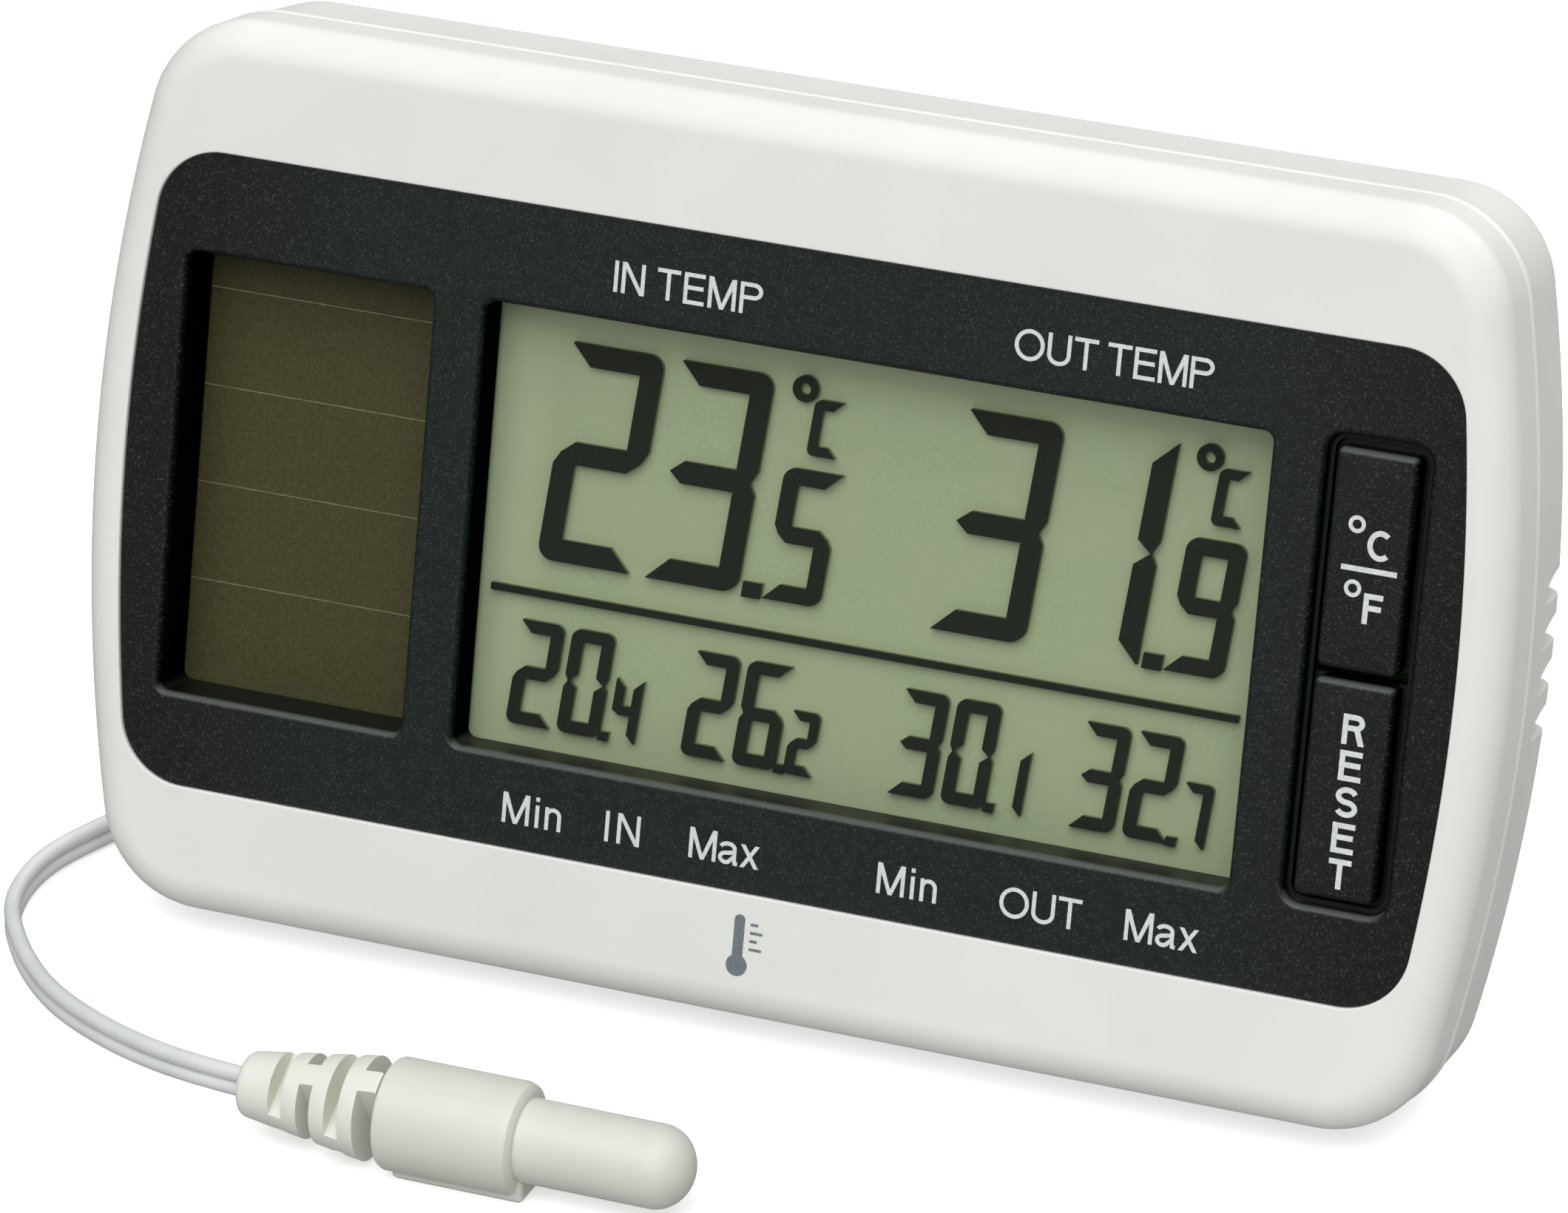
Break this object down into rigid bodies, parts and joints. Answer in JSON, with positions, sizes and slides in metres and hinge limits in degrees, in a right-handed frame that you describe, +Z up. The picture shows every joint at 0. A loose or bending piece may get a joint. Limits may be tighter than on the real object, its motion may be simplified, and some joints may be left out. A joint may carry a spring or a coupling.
{
  "type": "maximum minimum thermometer",
  "caption": "Solar indoor and outdoor maximum minimum thermometer: leaning desk case with a display, push buttons, a folding stand and a cabled outdoor probe.",
  "frame": {"origin": "middle of the footprint of the case, stand, cable and probe, on the table", "axes": "+X to the right as the display is read, +Y to the back, +Z up"},
  "size_m": [0.1194, 0.0662, 0.071],
  "materials": {
    "white_plastic": "fine satin moulding",
    "charcoal_plastic": "fine speckled paint",
    "solar_panel": "brown amorphous cell behind glass",
    "display_film": "satin polarising film",
    "display_reflector_film": "satin",
    "holder_plastic": "satin",
    "strip_rubber": "matte",
    "board_laminate": "solder mask",
    "black_resin": "glossy",
    "plated_steel": "nickel plated",
    "contact_metal": "bright",
    "switch_plastic": "satin",
    "capacitor_sleeve": "glossy",
    "red_wire": "satin",
    "black_wire": "satin",
    "grommet_rubber": "matte",
    "cable_jacket": "satin",
    "ivory_plastic": "satin moulding"
  },
  "bodies": {
    "case": {"front_shell": "white_plastic", "back_shell": "white_plastic", "bezel": "charcoal_plastic", "solar_cell": "solar_panel", "display_glass": "display_film", "display_reflector": "display_reflector_film", "display_holder": "holder_plastic", "upper_contact_strip": "strip_rubber", "lower_contact_strip": "strip_rubber", "circuit_board": "board_laminate", "chip_resin": "black_resin", "room_sensor": "black_resin", "probe_sensor": "black_resin", "crystal": "plated_steel", "battery": "plated_steel", "case_screw_1": "plated_steel", "case_screw_2": "plated_steel", "case_screw_3": "plated_steel", "case_screw_4": "plated_steel", "board_screw_1": "plated_steel", "board_screw_2": "plated_steel", "board_screw_3": "plated_steel", "board_screw_4": "plated_steel", "battery_face_contact": "contact_metal", "battery_side_contact": "contact_metal", "unit_switch": "switch_plastic", "reset_switch": "switch_plastic", "capacitor": "capacitor_sleeve", "solar_lead_upper": "red_wire", "solar_lead_lower": "black_wire", "cable_grommet": "grommet_rubber", "sensor_cable": "cable_jacket", "probe_boot": "ivory_plastic", "probe_sleeve": "ivory_plastic", "probe_cap": "ivory_plastic"},
    "unit_button": {"unit_button": "charcoal_plastic"},
    "reset_button": {"reset_button": "charcoal_plastic"},
    "stand": {"stand": "white_plastic"},
    "battery_door": {"battery_door": "white_plastic"}
  },
  "joints": [
    {"name": "unit_button_press", "type": "slide", "parent": "case", "child": "unit_button", "axis": [0, 0.9744, -0.225], "range_m": [0, 0.0005]},
    {"name": "reset_button_press", "type": "slide", "parent": "case", "child": "reset_button", "axis": [0, 0.9744, -0.225], "range_m": [0, 0.0005]},
    {"name": "stand_fold", "type": "hinge", "parent": "case", "child": "stand", "pos_m": [0.00239, 0.02223, 0.04534], "axis": [1, 0, 0], "range_deg": [-25.4, 0]},
    {"name": "battery_door_release", "type": "slide", "parent": "case", "child": "battery_door", "axis": [0, 0.9744, -0.225], "range_m": [0, 0.012]}
  ]
}
